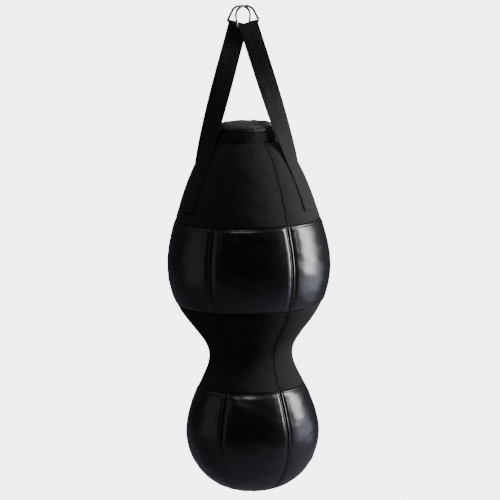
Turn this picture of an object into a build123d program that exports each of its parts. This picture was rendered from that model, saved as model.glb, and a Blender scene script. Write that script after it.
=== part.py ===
"""Hourglass heavy punching bag: two stuffed balls joined by a waist, hung from two D-rings.

Millimetres, +Z up. The origin is the hanging point, where the hook bears on the inside of
both rings. -Y is the front. Angles in plan are counted from +X towards +Y.
"""
import os
from math import cos, radians, sin, sqrt, tan

from build123d import *

# ---- overall sizes of the stuffed body -------------------------------------------------
neck_drop = 341.0              # hanging point to the top edge of the shoulder panels
shoulder_height = 204.0
upper_ball_height = 220.0
waist_height = 217.0
lower_ball_height = 287.0

neck_radius = 84.0
shoulder_seam_radius = 187.0
upper_ball_radius = 210.5
upper_waist_seam_radius = 188.0
waist_radius = 108.5
lower_waist_seam_radius = 136.0
lower_ball_radius = 174.0

# where the widest and narrowest rings lie, as a share of their section's height
upper_ball_level = 0.53
waist_level = 0.617
lower_ball_level = 0.41
underside_roundness = 0.91     # 1 is an ellipse; less is squarer and flatter underneath

# ---- cover, padding and filling --------------------------------------------------------
gore_count = 6
gore_seam_angle = 0.25         # degrees left open between two neighbouring gores
round_seam_gap = 0.6           # open between two sections, along the outline
canvas_thickness = 1.5
vinyl_thickness = 2.0
layer_gap = 0.3                # between one layer and the next
backing_thickness = 1.5
backing_overlap = 14.0         # backing band beyond each end of the sewn webbing
padding_depth = 17.0           # outer skin to the inside of the foam
liner_thickness = 0.8
panel_mouth_radius = 24.0      # the gores stop here under the bottom patch
bottom_patch_radius = 34.0
bottom_patch_thickness = 1.5
outline_pitch = 12.0           # spacing of the points that a layer's curve goes through

# ---- D-rings and webbing ---------------------------------------------------------------
wire_radius = 3.0
ring_side_clearance = 0.04     # between a ring's leg and the edge of the webbing's loop
ring_leg_taper = 10.0          # degrees, each leg from the ring's own axis
ring_bar_drop = 45.5           # inside of the round top to the bar's centre line
ring_corner_radius = 4.0
ring_roll = 16.5               # degrees, each ring leans out to follow its strap
ring_gap = 0.3                 # between the two rings where they share the hook
loop_gap = 0.8                 # between the two webbing loops
webbing_width = 50.0
webbing_thickness = 2.5
loop_leg = 12.0                # free end of a loop below the bar's centre line
leg_angle = 60.0               # degrees in plan between a webbing leg and the Y axis
sewn_height = 102.0            # length of webbing sewn down on the shoulder
sewn_margin = 30.0             # from the webbing's sewn end down to the shoulder's seam
twist_power = 1.6              # the webbing turns slowly at first
leg_stations = 6

# ---- mouth: lid, binding, collar -------------------------------------------------------
lid_drop = 298.0
lid_edge_radius = 12.0
lid_skirt_height = 18.0
binding_drop = 304.0
binding_inset = 0.6            # the binding stands this far inside the collar's top
binding_height = 12.0
collar_thickness = 2.3
collar_flare = 4.5             # the collar's foot is this much wider than its top
stiffener_thickness = 3.6
mouth_clearance = 1.3          # between the collar and the stiffening hoop
filling_top_drop = 309.0

# ---- zip -------------------------------------------------------------------------------
zip_slot_width = 10.0
zip_end_margin = 5.0           # from the rows' ends to the lid's rounded edge
zip_row_width = 2.2
zip_row_height = 2.4
zip_row_split = 1.0            # between the two rows
zip_tape_width = 12.0
zip_tape_thickness = 0.8
zip_tape_overhang = 3.0
zip_stop_length = 2.0
slider_length = 11.0
slider_width = 8.8
slider_plate = 1.3
slider_end_margin = 7.0        # from the closed slider's middle to the rows' end
running_gap = 0.3
bridge_length = 8.0
bridge_width = 2.4
bridge_height = 3.6
pull_pin_radius = 0.9
pull_pin_clearance = 0.25
pull_length = 24.0
pull_width = 7.0
pull_thickness = 1.6
pull_arm_width = 1.2

# ---- worked out ------------------------------------------------------------------------
gore_angle = 360.0 / gore_count
front = 270.0                                 # plan angle of the front
shoulder_seam_drop = neck_drop + shoulder_height
upper_waist_seam_drop = shoulder_seam_drop + upper_ball_height
lower_waist_seam_drop = upper_waist_seam_drop + waist_height
lower_ball_drop = lower_waist_seam_drop + lower_ball_level * lower_ball_height
bottom_drop = lower_waist_seam_drop + lower_ball_height
ring_y = wire_radius + ring_gap / 2
bar_y = wire_radius + layer_gap + webbing_thickness + loop_gap / 2
taper = radians(ring_leg_taper)
half_bar = (webbing_width / 2 + ring_side_clearance + wire_radius / cos(taper)
            + (wire_radius + layer_gap + webbing_thickness) * tan(taper))
ring_arc_radius = ((half_bar - (wire_radius + ring_bar_drop) * tan(taper))
                   / (cos(taper) - tan(taper) + sin(taper) * tan(taper)))
straight_drop = webbing_width   # the legs hang side by side down to here, then spread
sewn_top_drop = shoulder_seam_drop - sewn_margin - sewn_height
collar_head_radius = neck_radius - collar_flare
stiffener_radius = collar_head_radius - collar_thickness - mouth_clearance - stiffener_thickness
lid_radius = stiffener_radius - layer_gap
binding_width = collar_head_radius - binding_inset - stiffener_radius
zip_row_length = 2 * (lid_radius - lid_edge_radius - zip_end_margin)
slider_rest = zip_row_length / 2 - slider_end_margin
collar_top_drop = binding_drop + binding_height + layer_gap
zip_row_drop = lid_drop + vinyl_thickness - 0.2

os.makedirs("parts", exist_ok=True)


def save(piece, name):
    """Label one sub-part and write it."""
    piece.part.label = name
    export_step(piece.part, f"parts/{name}.step")


# ---- the stuffed body's outline --------------------------------------------------------
def outline_points():
    """The half outline from the neck to the bottom, as (radius, height)."""
    shoulder = (0.58 * neck_radius + 0.505 * shoulder_seam_radius, neck_drop + 0.4 * shoulder_height)
    flank_radius = (upper_waist_seam_radius + waist_radius) / 2
    lower_flank_radius = 0.33 * lower_waist_seam_radius + 0.67 * lower_ball_radius
    stations = [
        (neck_radius, neck_drop),
        shoulder,
        (shoulder_seam_radius, shoulder_seam_drop),
        (upper_ball_radius, shoulder_seam_drop + upper_ball_level * upper_ball_height),
        (upper_waist_seam_radius, upper_waist_seam_drop),
        (flank_radius, upper_waist_seam_drop + 0.45 * waist_level * waist_height),
        (waist_radius, upper_waist_seam_drop + waist_level * waist_height),
        (lower_waist_seam_radius, lower_waist_seam_drop),
        (lower_flank_radius, lower_waist_seam_drop + 0.55 * lower_ball_level * lower_ball_height),
        (lower_ball_radius, lower_ball_drop),
    ]
    for step in range(1, 6):
        turn = radians(90 * step / 5)
        radius = lower_ball_radius * max(cos(turn), 0) ** underside_roundness
        drop = lower_ball_drop + (bottom_drop - lower_ball_drop) * sin(turn) ** underside_roundness
        stations.append((radius if step < 5 else 0, drop))
    return [(radius, -drop) for radius, drop in stations]


with BuildLine() as outline:
    meridian = Spline(*outline_points(), tangents=[(0.8, -0.6), (-1, 0)], tangent_scalars=[1, 1])


def share_at_drop(drop):
    """How far along the meridian, from 0 to 1, it passes a given drop."""
    low, high = 0.0, 1.0
    while high - low > 1e-7:
        middle = (low + high) / 2
        if -(meridian @ middle).Y < drop:
            low = middle
        else:
            high = middle
    return low


def share_at_mouth(radius):
    """How far along the meridian its last stretch comes in to a given radius."""
    low, high = share_at_drop(bottom_drop - lower_ball_height / 2), 1.0
    while high - low > 1e-7:
        middle = (low + high) / 2
        if (meridian @ middle).X > radius:
            low = middle
        else:
            high = middle
    return low


def outward(share):
    """The outline's outward direction in the (radius, height) plane."""
    along = meridian % share
    return Vector(-along.Y, along.X)


def layer_point(share, depth):
    """A point this deep under the skin; a negative depth stands off the skin."""
    return meridian @ share - outward(share) * depth


def layer_points(start, end, depth):
    steps = max(4, round((end - start) * meridian.length / outline_pitch))
    return [layer_point(start + (end - start) * i / steps, depth) for i in range(steps + 1)]


def plan_plane(angle):
    """The upright plane through the axis at a plan angle: x is outward and y is up."""
    turn = radians(angle)
    return Plane(origin=(0, 0, 0), x_dir=(cos(turn), sin(turn), 0), z_dir=(sin(turn), -cos(turn), 0))


def shell_section(plane, start, end, outer_depth, inner_depth):
    """The section of one layer between two places along the meridian."""
    with BuildSketch(plane) as section:
        with BuildLine():
            skin = Spline(*layer_points(start, end, outer_depth))
            back = Spline(*layer_points(start, end, inner_depth))
            Line(skin @ 0, back @ 0)
            Line(skin @ 1, back @ 1)
        make_face()
    return section.sketch


half_seam = round_seam_gap / 2 / meridian.length
shoulder_seam_share = share_at_drop(shoulder_seam_drop)
upper_waist_seam_share = share_at_drop(upper_waist_seam_drop)
lower_waist_seam_share = share_at_drop(lower_waist_seam_drop)
mouth_share = share_at_mouth(panel_mouth_radius)
patch_share = share_at_mouth(bottom_patch_radius)

sections = {
    "shoulder": (0.0, shoulder_seam_share, canvas_thickness),
    "upper_ball": (shoulder_seam_share, upper_waist_seam_share, vinyl_thickness),
    "waist": (upper_waist_seam_share, lower_waist_seam_share, canvas_thickness),
    "lower_ball": (lower_waist_seam_share, mouth_share, vinyl_thickness),
}


# ---- the four sections of the cover, six gores each ------------------------------------
def gore(start, end, thickness, angle):
    """One sewn gore: a sixth of the round, from seam to seam."""
    with BuildPart() as panel:
        section = shell_section(plan_plane(angle + gore_seam_angle / 2), start, end, 0, thickness)
        revolve(section, axis=Axis.Z, revolution_arc=gore_angle - gore_seam_angle)
    return panel


for name, (start, end, thickness) in sections.items():
    for number in range(gore_count):
        first_edge = front - gore_angle / 2 + gore_angle * number
        panel = gore(start + half_seam, end - half_seam, thickness, first_edge)
        save(panel, f"{name}_panel_{number + 1}")

with BuildPart() as bottom_patch:
    section = shell_section(Plane.XZ, patch_share, 1, -layer_gap - bottom_patch_thickness, -layer_gap)
    revolve(section, axis=Axis.Z)
save(bottom_patch, "bottom_patch")


# ---- padding, liner and filling inside the cover ---------------------------------------
sewn_top_share = share_at_drop(sewn_top_drop)
sewn_end_share = share_at_drop(sewn_top_drop + sewn_height)
backing_share = backing_overlap / meridian.length
backing_face = canvas_thickness + layer_gap
backing_back = backing_face + backing_thickness

with BuildPart() as webbing_backing:
    section = shell_section(Plane.XZ, sewn_top_share - backing_share, sewn_end_share + backing_share,
                            backing_face, backing_back)
    revolve(section, axis=Axis.Z)
save(webbing_backing, "webbing_backing")

for name, (start, end, thickness) in sections.items():
    face_depth = (backing_back if name == "shoulder" else thickness) + layer_gap
    last = 1 if name == "lower_ball" else end - half_seam
    with BuildPart() as padding:
        section = shell_section(Plane.XZ, start + half_seam, last, face_depth, padding_depth)
        revolve(section, axis=Axis.Z)
    save(padding, f"{name}_padding")

liner_depth = padding_depth + layer_gap
with BuildPart() as liner:
    section = shell_section(Plane.XZ, half_seam, 1, liner_depth, liner_depth + liner_thickness)
    revolve(section, axis=Axis.Z)
save(liner, "inner_liner")

filling_depth = liner_depth + liner_thickness + layer_gap
filling_top_radius = lid_radius - vinyl_thickness - 4.0
with BuildPart() as filling:
    with BuildSketch(Plane.XZ):
        with BuildLine():
            side = Spline(*layer_points(half_seam, 1, filling_depth))
            Polyline(side @ 0, (filling_top_radius, -neck_drop), (filling_top_radius, -filling_top_drop),
                     (0, -filling_top_drop), side @ 1)
        make_face()
    revolve(axis=Axis.Z)
save(filling, "textile_filling")


# ---- the mouth: lid in two halves, binding, collar and stiffening hoop -----------------
def lid_half(facing):
    """Half of the lid, on the front (-1) or rear (1) side of the zip slot."""
    with BuildPart() as half:
        with BuildSketch(Plane.XZ):
            with BuildLine():
                top = FilletPolyline((0, -lid_drop), (lid_radius, -lid_drop),
                                     (lid_radius, -lid_drop - lid_skirt_height), radius=lid_edge_radius)
                under = FilletPolyline((0, -lid_drop - vinyl_thickness),
                                       (lid_radius - vinyl_thickness, -lid_drop - vinyl_thickness),
                                       (lid_radius - vinyl_thickness, -lid_drop - lid_skirt_height),
                                       radius=lid_edge_radius - vinyl_thickness)
                Line(top @ 0, under @ 0)
                Line(top @ 1, under @ 1)
            make_face()
        revolve(axis=Axis.Z)
        with Locations((0, -facing * (lid_radius - zip_slot_width / 2), -lid_drop)):
            Box(3 * lid_radius, 2 * lid_radius, 3 * lid_skirt_height, mode=Mode.SUBTRACT)
    return half


save(lid_half(-1), "lid_panel_front")
save(lid_half(1), "lid_panel_rear")

with BuildPart() as binding:
    with BuildSketch(Plane.XZ):
        with Locations((stiffener_radius, -binding_drop - binding_height)):
            Rectangle(binding_width, binding_height, align=(Align.MIN, Align.MIN))
        fillet(vertices().group_by(Axis.Y)[-1], 0.42 * binding_width)
    revolve(axis=Axis.Z)
save(binding, "rim_binding")

collar_foot = (neck_radius, -neck_drop + layer_gap)
collar_head = (collar_head_radius, -collar_top_drop)
with BuildPart() as collar:
    with BuildSketch(Plane.XZ):
        with BuildLine():
            Polyline(collar_foot, collar_head,
                     (collar_head[0] - collar_thickness, collar_head[1]),
                     (collar_foot[0] - collar_thickness, collar_foot[1]), close=True)
        make_face()
    revolve(axis=Axis.Z)
save(collar, "collar_band")

with BuildPart() as stiffener:
    with BuildSketch(Plane.XZ):
        with Locations((stiffener_radius, -neck_drop)):
            Rectangle(stiffener_thickness, neck_drop - collar_top_drop, align=(Align.MIN, Align.MIN))
    revolve(axis=Axis.Z)
save(stiffener, "mouth_stiffener")


# ---- the zip ---------------------------------------------------------------------------
zip_row_y = zip_row_split / 2 + zip_row_width / 2
tape_top_drop = lid_drop + vinyl_thickness + layer_gap
tape_inner_y = zip_row_split / 2 + zip_row_width + layer_gap
slider_top_drop = zip_row_drop - running_gap - slider_plate
slider_bottom_drop = zip_row_drop + zip_row_height + running_gap + slider_plate

for side_name, facing in (("front", -1), ("rear", 1)):
    with BuildPart() as tape:
        with Locations((0, facing * (tape_inner_y + zip_tape_width / 2), -tape_top_drop)):
            Box(zip_row_length + 2 * zip_tape_overhang, zip_tape_width, zip_tape_thickness,
                align=(Align.CENTER, Align.CENTER, Align.MAX))
    save(tape, f"zip_tape_{side_name}")
    with BuildPart() as row:
        with Locations((0, facing * zip_row_y, -zip_row_drop)):
            Box(zip_row_length, zip_row_width, zip_row_height,
                align=(Align.CENTER, Align.CENTER, Align.MAX))
    save(row, f"zip_row_{side_name}")

for side_name, facing in (("closed", 1), ("open", -1)):
    stop_x = facing * (zip_row_length / 2 + running_gap + zip_stop_length / 2)
    with BuildPart() as stop:
        with Locations((stop_x, 0, -zip_row_drop)):
            Box(zip_stop_length, 2 * tape_inner_y - 2 * layer_gap, zip_row_height,
                align=(Align.CENTER, Align.CENTER, Align.MAX))
    save(stop, f"zip_stop_{side_name}")

channel_width = zip_row_split + 2 * (zip_row_width + running_gap)
pin_drop = slider_top_drop - bridge_height / 2
pin_plane = Plane(origin=(slider_rest, 0, -pin_drop), z_dir=(0, 1, 0))
with BuildPart() as slider:
    with Locations((slider_rest, 0, -slider_top_drop)):
        Box(slider_length, slider_width, slider_bottom_drop - slider_top_drop,
            align=(Align.CENTER, Align.CENTER, Align.MAX))
    fillet(slider.edges().filter_by(Axis.Z), 2.0)
    with Locations((slider_rest, 0, -zip_row_drop + running_gap)):
        Box(slider_length, channel_width, zip_row_height + 2 * running_gap,
            align=(Align.CENTER, Align.CENTER, Align.MAX), mode=Mode.SUBTRACT)
    with Locations((slider_rest, 0, -tape_top_drop + running_gap)):
        Box(slider_length, slider_width, zip_tape_thickness + 2 * running_gap,
            align=(Align.CENTER, Align.CENTER, Align.MAX), mode=Mode.SUBTRACT)
    with Locations((slider_rest, 0, -zip_row_drop + running_gap)):
        Box(slider_length / 3, zip_row_split - running_gap, zip_row_height + 2 * running_gap,
            align=(Align.CENTER, Align.CENTER, Align.MAX))
    with Locations((slider_rest, 0, -slider_top_drop)):
        Box(bridge_length, bridge_width, bridge_height, align=(Align.CENTER, Align.CENTER, Align.MIN))
    with BuildSketch(pin_plane):
        Circle(pull_pin_radius + pull_pin_clearance)
    extrude(amount=bridge_width, both=True, mode=Mode.SUBTRACT)
save(slider, "zip_slider")

pull_window = bridge_width + 2 * running_gap
window_reach = sqrt(bridge_length**2 + bridge_height**2) / 2 + running_gap   # clears the bridge as it turns
with BuildPart() as pull:
    with BuildSketch(Plane.XY.offset(-pin_drop)):
        with Locations((slider_rest + pull_arm_width, 0)):
            RectangleRounded(pull_length, pull_width, pull_width / 3, align=(Align.MAX, Align.CENTER))
        with Locations((slider_rest - window_reach, 0)):
            Rectangle(pull_length, pull_window, align=(Align.MIN, Align.CENTER), mode=Mode.SUBTRACT)
    extrude(amount=pull_thickness / 2, both=True)
    with BuildSketch(pin_plane):
        Circle(pull_pin_radius)
    extrude(amount=pull_window / 2 + pull_arm_width / 2, both=True)
save(pull, "zip_pull")


# ---- two D-rings on the hook, each with a webbing loop and two webbing legs ------------
def ring_frame(side):
    """Centre of a ring's bar, the way along the bar, and the way up its strap.

    side is 1 for the right-hand ring, in front, and -1 for the left-hand one, behind.
    """
    roll = radians(ring_roll)
    along_bar = Vector(cos(roll), 0, side * sin(roll))
    up_strap = Vector(-side * sin(roll), 0, cos(roll))
    sideways = side * -(bar_y - ring_y)
    down = sqrt(ring_bar_drop**2 - sideways**2)
    bar = Vector(0, -side * ring_y, 0) - up_strap * down + Vector(0, sideways, 0)
    return bar, along_bar, up_strap


def d_ring(side):
    """A welded ring of round wire: a round top, two tapered legs and a straight bar."""
    bar, along_bar, _ = ring_frame(side)
    hook = Vector(0, -side * ring_y, 0)
    up_ring = (hook - bar).normalized()
    plane = Plane(origin=hook, x_dir=along_bar, z_dir=along_bar.cross(up_ring))
    arc_centre = wire_radius - ring_arc_radius
    leg_top = Vector(ring_arc_radius * cos(taper), arc_centre + ring_arc_radius * sin(taper))
    with BuildPart() as ring:
        with BuildLine(plane):
            top = ThreePointArc((leg_top.X, leg_top.Y), (0, wire_radius), (-leg_top.X, leg_top.Y))
            foot = FilletPolyline((-leg_top.X, leg_top.Y), (-half_bar, -ring_bar_drop),
                                  (half_bar, -ring_bar_drop), (leg_top.X, leg_top.Y),
                                  radius=ring_corner_radius)
        with BuildSketch(Plane(origin=plane.from_local_coords(Vector(0, -ring_bar_drop, 0)),
                               z_dir=along_bar)):
            Circle(wire_radius)
        sweep(path=Wire(top.edges() + foot.edges()))
    return ring


def strap_loop(side):
    """The webbing's turn over the bar, seen along the bar as an upside-down U."""
    bar, along_bar, up_strap = ring_frame(side)
    inner = wire_radius + layer_gap
    outer = inner + webbing_thickness
    plane = Plane(origin=bar, x_dir=up_strap.cross(along_bar), z_dir=along_bar)
    with BuildPart() as loop:
        with BuildSketch(plane):
            Circle(outer)
            Rectangle(2 * outer, loop_leg, align=(Align.CENTER, Align.MAX))
            Circle(inner, mode=Mode.SUBTRACT)
            Rectangle(2 * inner, loop_leg, align=(Align.CENTER, Align.MAX), mode=Mode.SUBTRACT)
        extrude(amount=webbing_width / 2, both=True)
    return loop


def leg_planes(side, facing, angle):
    """Section planes of a webbing leg, from just under its loop down to the shoulder."""
    bar, along_bar, up_strap = ring_frame(side)
    stand_off = facing * (wire_radius + layer_gap + webbing_thickness / 2)
    start = bar + Vector(0, stand_off, 0) - up_strap * (loop_leg + layer_gap)
    spread = bar + Vector(0, stand_off, 0) - up_strap * straight_drop
    turn = radians(angle)
    radial = Vector(cos(turn), sin(turn), 0)
    across = Vector(-sin(turn), cos(turn), 0)
    across = across if across.X > 0 else across * -1
    skin = layer_point(sewn_top_share, -layer_gap - webbing_thickness / 2 - layer_gap)
    slope = meridian % sewn_top_share
    end = radial * skin.X + Vector(0, 0, skin.Y)
    end_way = radial * slope.X + Vector(0, 0, slope.Y)
    planes = [Plane(origin=start, x_dir=along_bar, z_dir=up_strap * -1)]
    planes.append(Plane(origin=spread, x_dir=along_bar, z_dir=up_strap * -1))
    way = (end - spread).normalized()
    for station in range(1, leg_stations):
        share = station / leg_stations
        turned = share**twist_power
        width_way = along_bar * (1 - turned) + across * turned
        width_way = width_way - way * width_way.dot(way)
        planes.append(Plane(origin=spread + (end - spread) * share, x_dir=width_way, z_dir=way))
    planes.append(Plane(origin=end, x_dir=across, z_dir=end_way))
    return planes


def strap_leg(side, facing, angle):
    """A free webbing leg and its tail, which is sewn down along a gore of the shoulder."""
    reach = 20.0
    with BuildPart() as tail:
        section = shell_section(plan_plane(angle - reach), sewn_top_share, sewn_end_share,
                                -layer_gap - webbing_thickness, -layer_gap)
        revolve(section, axis=Axis.Z, revolution_arc=2 * reach)
        with BuildSketch(Plane(origin=(0, 0, -sewn_top_drop), x_dir=plan_plane(angle).x_dir,
                               z_dir=(0, 0, 1))):
            Rectangle(2 * upper_ball_radius, webbing_width)
        extrude(amount=2 * sewn_height, both=True, mode=Mode.INTERSECT)
    with BuildPart() as leg:
        for plane in leg_planes(side, facing, angle):
            with BuildSketch(plane):
                Rectangle(webbing_width, webbing_thickness)
        loft()
        add(tail.part)
    return leg


for side_name, side in (("left", -1), ("right", 1)):
    save(d_ring(side), f"d_ring_{side_name}")
    save(strap_loop(side), f"strap_loop_{side_name}")
    for facing_name, facing in (("front", -1), ("rear", 1)):
        plan_angle = facing * 90 - side * facing * leg_angle
        save(strap_leg(side, facing, plan_angle), f"strap_{facing_name}_{side_name}")
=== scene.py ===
# %% [markdown]
# # An hourglass heavy punching bag, hung from two D-rings
# The real bag is a stack of four sewn sections: a canvas shoulder, a big glossy ball, a canvas
# waist and a smaller glossy ball. Each section is six gores sewn edge to edge and stuffed hard.
# Two bands of webbing go over the bars of two D-rings and are sewn down on the shoulder.
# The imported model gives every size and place, and this script gives each piece its real surface.

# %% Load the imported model
import math

import bmesh
import bpy
import numpy as np
from mathutils import Matrix, Vector


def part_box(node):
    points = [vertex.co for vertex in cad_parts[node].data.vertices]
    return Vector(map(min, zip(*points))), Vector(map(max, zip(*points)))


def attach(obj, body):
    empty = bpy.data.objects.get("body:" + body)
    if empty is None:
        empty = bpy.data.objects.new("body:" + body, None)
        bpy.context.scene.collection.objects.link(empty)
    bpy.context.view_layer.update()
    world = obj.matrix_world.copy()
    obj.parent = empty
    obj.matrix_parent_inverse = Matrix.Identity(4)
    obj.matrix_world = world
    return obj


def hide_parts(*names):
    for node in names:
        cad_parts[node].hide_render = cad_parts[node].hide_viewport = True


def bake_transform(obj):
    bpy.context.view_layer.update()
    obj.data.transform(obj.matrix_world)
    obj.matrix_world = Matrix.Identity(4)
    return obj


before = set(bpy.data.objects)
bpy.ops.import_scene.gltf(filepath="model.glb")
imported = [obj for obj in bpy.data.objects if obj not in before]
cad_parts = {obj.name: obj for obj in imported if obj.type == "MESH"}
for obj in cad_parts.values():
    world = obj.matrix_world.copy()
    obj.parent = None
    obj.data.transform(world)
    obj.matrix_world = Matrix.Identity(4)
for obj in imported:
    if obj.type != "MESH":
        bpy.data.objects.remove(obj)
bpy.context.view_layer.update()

for leftover in ("Cube", "Light", "Camera"):
    if leftover in bpy.data.objects:
        bpy.data.objects.remove(bpy.data.objects[leftover])

# %% [markdown]
# ## The outline
# Every gore follows one outline turned round the bag's axis. It could be traced from the model's
# triangles, but a cubic curve through a few stations is smoother and easier to follow. Heights
# are measured down from the hanging point, in metres, and a table of the curve's length lets the
# rest of the script ask for the point, and the way out of the skin, at any distance along it.

# %% Outline of the stuffed skin
GORES = 6
GORE_ANGLE = 2 * math.pi / GORES
SECTIONS = ("shoulder", "upper_ball", "waist", "lower_ball")
SEAM_HEIGHTS = {"neck": -0.341, "shoulder": -0.545, "upper_waist": -0.765, "lower_waist": -0.982}
LOWER_RADIUS, LOWER_WIDEST, UNDERSIDE_DEPTH, ROUNDNESS = 0.174, -1.09967, 0.16933, 0.91
UNDERSIDE_STEPS = 5
STATIONS = [
    (0.084, -0.341), (0.14316, -0.4226), (0.187, -0.545), (0.2105, -0.6616), (0.188, -0.765),
    (0.14825, -0.82525), (0.1085, -0.8989), (0.136, -0.982), (0.16146, -1.04672),
    (LOWER_RADIUS, LOWER_WIDEST),
]
for step in range(1, UNDERSIDE_STEPS + 1):
    turn = math.pi / 2 * step / UNDERSIDE_STEPS
    STATIONS.append((LOWER_RADIUS * max(math.cos(turn), 0) ** ROUNDNESS,
                     LOWER_WIDEST - UNDERSIDE_DEPTH * math.sin(turn) ** ROUNDNESS))


def cubic_through(points, start_slope, end_slope, samples=6000):
    """A dense run of points on the smooth cubic curve through a few, with its end slopes set."""
    points = np.array(points, float)
    knots = np.concatenate([[0], np.cumsum(np.linalg.norm(np.diff(points, axis=0), axis=1))])
    spans = np.diff(knots)
    system = np.eye(len(points))
    target = np.zeros_like(points)
    target[0], target[-1] = start_slope, end_slope
    for k in range(1, len(points) - 1):
        before, after = spans[k - 1], spans[k]
        system[k, k - 1:k + 2] = after, 2 * (before + after), before
        target[k] = 3 * (after / before * (points[k] - points[k - 1])
                         + before / after * (points[k + 1] - points[k]))
    slopes = np.linalg.solve(system, target)
    where = np.linspace(0, knots[-1], samples)
    k = np.clip(np.searchsorted(knots, where, side="right") - 1, 0, len(spans) - 1)
    t, h = ((where - knots[k]) / spans[k])[:, None], spans[k][:, None]
    return ((2 * t**3 - 3 * t**2 + 1) * points[k] + (t**3 - 2 * t**2 + t) * h * slopes[k]
            + (3 * t**2 - 2 * t**3) * points[k + 1] + (t**3 - t**2) * h * slopes[k + 1])


outline = cubic_through(STATIONS, (0.8, -0.6), (-1, 0))
outline_length = np.concatenate([[0], np.cumsum(np.linalg.norm(np.diff(outline, axis=0), axis=1))])
outline_way = np.gradient(outline, outline_length, axis=0)
outline_way /= np.linalg.norm(outline_way, axis=1)[:, None]
print("outline", round(outline_length[-1], 3), "m long, widest", round(outline[:, 0].max(), 4))


# %% Points on the skin
def length_at(height):
    """Distance down the outline to a height."""
    return float(np.interp(-height, -outline[:, 1], outline_length))


def skin_point(angle, along, offset=0.0):
    """Points on the skin at a plan angle and a distance down the outline, and their outward normals."""
    angle, along = np.broadcast_arrays(np.asarray(angle, float), np.asarray(along, float))
    radius = np.interp(along, outline_length, outline[:, 0])
    height = np.interp(along, outline_length, outline[:, 1])
    way_r = np.interp(along, outline_length, outline_way[:, 0])
    way_z = np.interp(along, outline_length, outline_way[:, 1])
    normal = np.stack([-way_z * np.cos(angle), -way_z * np.sin(angle), way_r], -1)
    point = np.stack([radius * np.cos(angle), radius * np.sin(angle), height], -1)
    return point + normal * np.asarray(offset)[..., None], normal


def underside_length(radius):
    """Distance down the outline to a radius on the underside."""
    lower_half = slice(len(outline) // 2, None)
    return float(np.interp(-radius, -outline[lower_half, 0], outline_length[lower_half]))


BOTTOM_OPENING = 0.024
SPANS = {
    "shoulder": (0.0, length_at(SEAM_HEIGHTS["shoulder"])),
    "upper_ball": (length_at(SEAM_HEIGHTS["shoulder"]), length_at(SEAM_HEIGHTS["upper_waist"])),
    "waist": (length_at(SEAM_HEIGHTS["upper_waist"]), length_at(SEAM_HEIGHTS["lower_waist"])),
    "lower_ball": (length_at(SEAM_HEIGHTS["lower_waist"]), underside_length(BOTTOM_OPENING)),
}
FIRST_SEAM = -math.pi / 2 - GORE_ANGLE / 2
for name, (top, foot) in SPANS.items():
    print(f"{name}: {1000 * (foot - top):.0f} mm from seam to seam")

# %% [markdown]
# ## How the stuffing swells the cover
# A stuffed gore is not a smooth shell: its seams hold it in, and the filling pushes it out
# between them. Cloth simulation says where: a coarse copy of each section is sewn (pinned) along
# its seams and blown up by pressure for a few frames. How far it swells is given in
# SWELL_HEIGHT, so the simulated rise is divided by its own high value and kept as a table. The
# fine gores, which are far too dense to simulate themselves, read it back.

# %% Blow up each section as cloth
SIM_COLUMNS, SIM_ROWS, SIM_FRAMES = 12, 20, 18
SWELL_HEIGHT = {"shoulder": 0.0018, "upper_ball": 0.0036, "waist": 0.0016, "lower_ball": 0.0032}
HIGH_PERCENTILE, MOST_SWELL = 97, 1.15


def sewn_shell(name):
    """A coarse tube of one section with its seams in a vertex group, ready for Cloth."""
    top, foot = SPANS[name]
    angles = FIRST_SEAM + GORE_ANGLE / SIM_COLUMNS * np.arange(GORES * SIM_COLUMNS)
    along = np.linspace(top, foot, SIM_ROWS + 1)
    points, normals = skin_point(angles[None, :], along[:, None])
    count = len(angles)
    faces = [(r * count + c, (r + 1) * count + c,
              (r + 1) * count + (c + 1) % count, r * count + (c + 1) % count)
             for r in range(SIM_ROWS) for c in range(count)]
    mesh = bpy.data.meshes.new(f"{name}_shell")
    mesh.from_pydata(points.reshape(-1, 3).tolist(), [], faces)
    shell = bpy.data.objects.new(f"{name}_shell", mesh)
    bpy.context.scene.collection.objects.link(shell)
    held = shell.vertex_groups.new(name="seams")
    seams = [r * count + c for r in range(SIM_ROWS + 1) for c in range(count)
             if r in (0, SIM_ROWS) or c % SIM_COLUMNS == 0]
    held.add(seams, 1.0, "REPLACE")
    return shell, points, normals


def swelling(name):
    """Table of the simulated rise off the outline by row and column, where 1 is its high percentile."""
    shell, points, normals = sewn_shell(name)
    cloth = shell.modifiers.new("Cloth", "CLOTH")
    cloth.settings.vertex_group_mass = "seams"
    cloth.settings.use_pressure = True
    cloth.settings.uniform_pressure_force = 9.0
    cloth.settings.effector_weights.gravity = 0.0
    cloth.settings.tension_stiffness = cloth.settings.compression_stiffness = 60.0
    cloth.settings.bending_stiffness = 6.0
    cloth.settings.quality = 6
    cloth.point_cache.frame_end = SIM_FRAMES
    for frame_number in range(1, SIM_FRAMES + 1):
        bpy.context.scene.frame_set(frame_number)
    evaluated = shell.evaluated_get(bpy.context.evaluated_depsgraph_get())
    swollen = np.array([v.co for v in evaluated.data.vertices], float).reshape(points.shape)
    rise = ((swollen - points) * normals).sum(-1)
    bpy.data.objects.remove(shell)
    bpy.context.scene.frame_set(1)
    return np.clip(rise / np.percentile(rise, HIGH_PERCENTILE), 0, MOST_SWELL)


swell_tables = {}
for name in SECTIONS:
    swell_tables[name] = swelling(name)
    print(name, "swelling, mean", round(float(swell_tables[name].mean()), 3))

# %% [markdown]
# ## Seams, stitch rows and unevenness
# Close to a seam the folded edges make a low ridge, the seam itself is a sharp valley, and the
# row of topstitching pulls a groove beside it. Past the stitches the cover puckers a little. All
# of this is only a height above the outline, so it is written once as a function that the gores,
# the stitches and the sewn webbing all read, and they can't come apart.

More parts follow.
